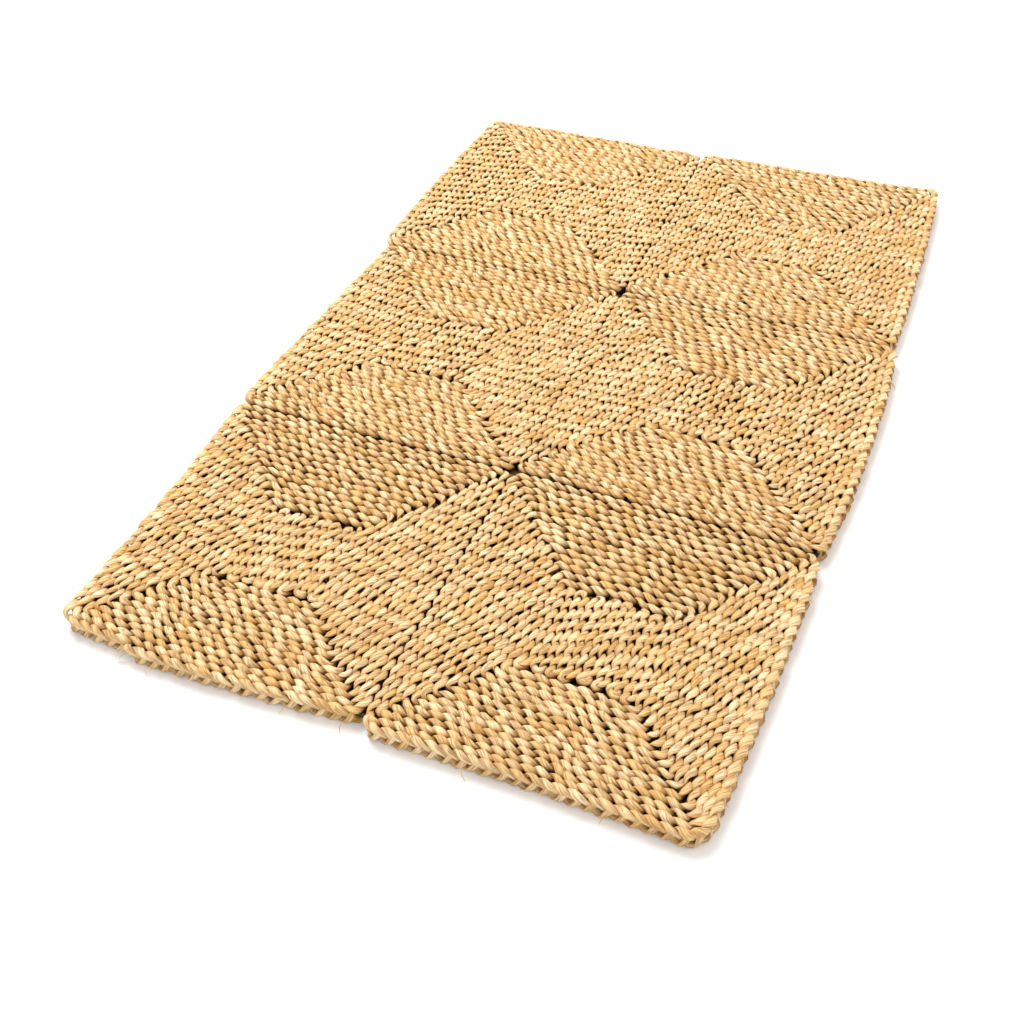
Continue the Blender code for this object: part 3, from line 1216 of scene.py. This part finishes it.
@dataclass(frozen=True)
class Studio:
    """A pale floor, soft light from above and behind, and the camera above the front right corner."""

    floor_side: float = 14.0
    floor_colour: Colour = (0.92, 0.92, 0.92)
    floor_roughness: float = 0.9
    surround_strength: float = 1.0
    lamp_size: float = 1.2
    lamp_energy: float = 31.0
    lamp_place: Point = (-0.6, 0.42, 1.7)
    camera_place: Point = (0.3619, -0.8483, 0.7875)
    camera_right: Point = (0.9144, 0.3997, -0.0637)
    camera_forward: Point = (-0.3187, 0.6138, -0.7223)
    focal_length: float = 41.7
    sensor_width: float = 36.0
    nearest_view: float = 0.01

    def build(self) -> None:
        """Lay the floor, hang the light and set the camera."""
        self.lay_floor()
        self.light()
        self.set_camera()

    def lay_floor(self) -> None:
        """Lay a pale matt floor under the rug."""
        half = self.floor_side / 2
        data = bpy.data.meshes.new("floor")
        data.from_pydata([(-half, -half, 0), (half, -half, 0), (half, half, 0), (-half, half, 0)], [],
                         [(0, 1, 2, 3)])
        material = bpy.data.materials.new("pale_floor")
        material.use_nodes = True
        shader = material.node_tree.nodes["Principled BSDF"]
        shader.inputs["Base Color"].default_value = (*self.floor_colour, 1.0)
        shader.inputs["Roughness"].default_value = self.floor_roughness
        data.materials.append(material)
        add_object("floor", data)

    def light(self) -> None:
        """Add a bright surround and one large soft lamp that points at the rug's middle."""
        world = bpy.data.worlds.new("studio")
        world.use_nodes = True
        background = world.node_tree.nodes["Background"]
        background.inputs["Color"].default_value = (1.0, 1.0, 1.0, 1.0)
        background.inputs["Strength"].default_value = self.surround_strength
        bpy.context.scene.world = world
        data = bpy.data.lights.new("key", "AREA")
        data.shape = "DISK"
        data.size = self.lamp_size
        data.energy = self.lamp_energy
        lamp = add_object("key", data)
        lamp.location = self.lamp_place
        lamp.rotation_euler = (-lamp.location).to_track_quat("-Z", "Y").to_euler()
        bpy.context.scene.view_settings.view_transform = "Standard"

    def set_camera(self) -> None:
        """Put the camera where the photograph was taken from."""
        data = bpy.data.cameras.new("camera")
        data.sensor_width = self.sensor_width
        data.lens = self.focal_length
        data.clip_start = self.nearest_view
        camera = add_object("camera", data)
        forward = Vector(self.camera_forward).normalized()
        right = Vector(self.camera_right)
        right = (right - forward * right.dot(forward)).normalized()
        up = right.cross(forward)
        turn = Matrix((right, up, -forward)).transposed().to_4x4()
        camera.matrix_world = Matrix.Translation(self.camera_place) @ turn
        bpy.context.scene.camera = camera


SQUARE_PLANS = (
    SquarePlan(
        name="square_front_left", column=0, row=0,
        corners=CornerPlaces((-296.0, -450.0), (0.0, -436.0), (2.0, -143.5), (-298.0, -145.0)),
        radii=CornerRadii(23.0, 16.0, 12.0, 12.0), core_rows=15, turns=14,
        bands=Sides(0.344, 0.322, 0.317, 0.372), tail=70.0, stitch=13.1,
        stagger=Sides(0.19, -0.15, 0.53, -0.42), stagger_core=0.10, seed=1),
    SquarePlan(
        name="square_front_right", column=1, row=0,
        corners=CornerPlaces((0.0, -446.0), (279.5, -443.0), (291.5, -148.5), (2.0, -143.5)),
        radii=CornerRadii(15.0, 20.0, 12.0, 12.0), core_rows=15, turns=14,
        bands=Sides(0.336, 0.322, 0.309, 0.375), tail=15.0, stitch=12.7,
        stagger=Sides(0.21, -0.12, 0.40, -0.38), stagger_core=0.20, seed=2),
    SquarePlan(
        name="square_middle_left", column=0, row=1,
        corners=CornerPlaces((-301.5, -145.0), (2.0, -143.5), (2.5, 150.0), (-284.0, 150.0)),
        radii=CornerRadii(12.0, 12.0, 12.0, 12.0), core_rows=13, turns=15,
        bands=Sides(0.363, 0.325, 0.331, 0.358), tail=12.0, stitch=12.9,
        stagger=Sides(0.06, -0.02, 0.33, -0.17), stagger_core=0.04, seed=3),
    SquarePlan(
        name="square_middle_right", column=1, row=1,
        corners=CornerPlaces((2.0, -143.5), (291.5, -148.5), (296.0, 148.0), (2.5, 150.0)),
        radii=CornerRadii(12.0, 12.0, 12.0, 12.0), core_rows=13, turns=15,
        bands=Sides(0.335, 0.350, 0.331, 0.351), tail=12.0, stitch=12.7,
        stagger=Sides(-0.03, -0.05, 0.30, -0.25), stagger_core=-0.10, seed=4),
    SquarePlan(
        name="square_back_left", column=0, row=2,
        corners=CornerPlaces((-292.0, 150.0), (2.5, 150.0), (1.0, 444.5), (-284.5, 450.2)),
        radii=CornerRadii(12.0, 12.0, 12.0, 8.0), core_rows=13, turns=15,
        bands=Sides(0.365, 0.335, 0.340, 0.359), tail=12.0, stitch=12.9,
        stagger=Sides(-0.10, 0.04, 0.32, 0.02), stagger_core=0.0, seed=5),
    SquarePlan(
        name="square_back_right", column=1, row=2,
        corners=CornerPlaces((2.5, 150.0), (291.5, 148.0), (283.0, 450.0), (1.0, 449.5)),
        radii=CornerRadii(12.0, 12.0, 8.0, 12.0), core_rows=15, turns=15,
        bands=Sides(0.350, 0.337, 0.336, 0.382), tail=12.0, stitch=12.4,
        stagger=Sides(0.06, -0.02, 0.07, 0.03), stagger_core=0.0, seed=6),
)


WISPS = (
    Wisp(-222.0, -447.0, 12.0, 205.0, 12.0, 2.6, 40.0, 11.0),
    Wisp(-221.0, -448.5, 9.0, 222.0, 9.0, 2.2, -35.0, 8.0),
    Wisp(-197.0, -451.0, 9.0, 250.0, 7.0, 1.2, 60.0, 7.0),
    Wisp(-64.0, -446.5, 14.0, 262.0, 8.0, 1.0, -50.0, 6.0),
    Wisp(90.0, -446.5, 12.0, 285.0, 8.0, 1.0, 70.0, 9.0),
    Wisp(203.0, -445.5, 15.0, 300.0, 6.0, 1.4, -80.0, 6.0),
    Wisp(278.0, -405.0, 12.0, 10.0, 8.0, 0.8, 30.0, 4.0),
    Wisp(276.0, -428.0, 16.0, -20.0, 13.0, 1.4, 170.0, -1.0),
    Wisp(291.0, -197.0, 13.0, -15.0, 6.0, 1.3, 60.0, 5.0),
    Wisp(297.5, 97.0, 13.0, 25.0, 9.0, 1.6, -110.0, 5.0),
    Wisp(294.5, -27.0, 9.0, 0.0, 5.0, 0.8, 50.0, 3.0),
    Wisp(-287.0, 152.0, 15.0, 200.0, 8.0, 1.5, -60.0, 5.0),
    Wisp(-297.0, -133.0, 16.0, 160.0, 8.0, 1.2, 80.0, 2.0),
    Wisp(-14.0, -443.0, 12.0, 240.0, 7.0, 1.6, 50.0, 8.0),
)


def main() -> None:
    """Build the rug's squares and the studio."""
    layout = RugLayout()
    plait = PlaitSize()
    husk = HuskFinish().build()
    for plan in SQUARE_PLANS:
        route = RouteMaker(layout, plait, plan).make()
        piece = PlaitedSquare(layout, plait, plan).build(route, husk)
        faces = len(piece.data.polygons)
        LOG.info("%s: %.1f m of plait, %d faces", piece.name, route.length[-1] * MM, faces)
    ends = FrayedEnds(WISPS).build(husk)
    LOG.info("%s: %d wisps", ends.name, len(WISPS))
    Studio().build()
    LOG.info("studio: floor, lamp and camera")


if __name__ == "__main__":
    main()
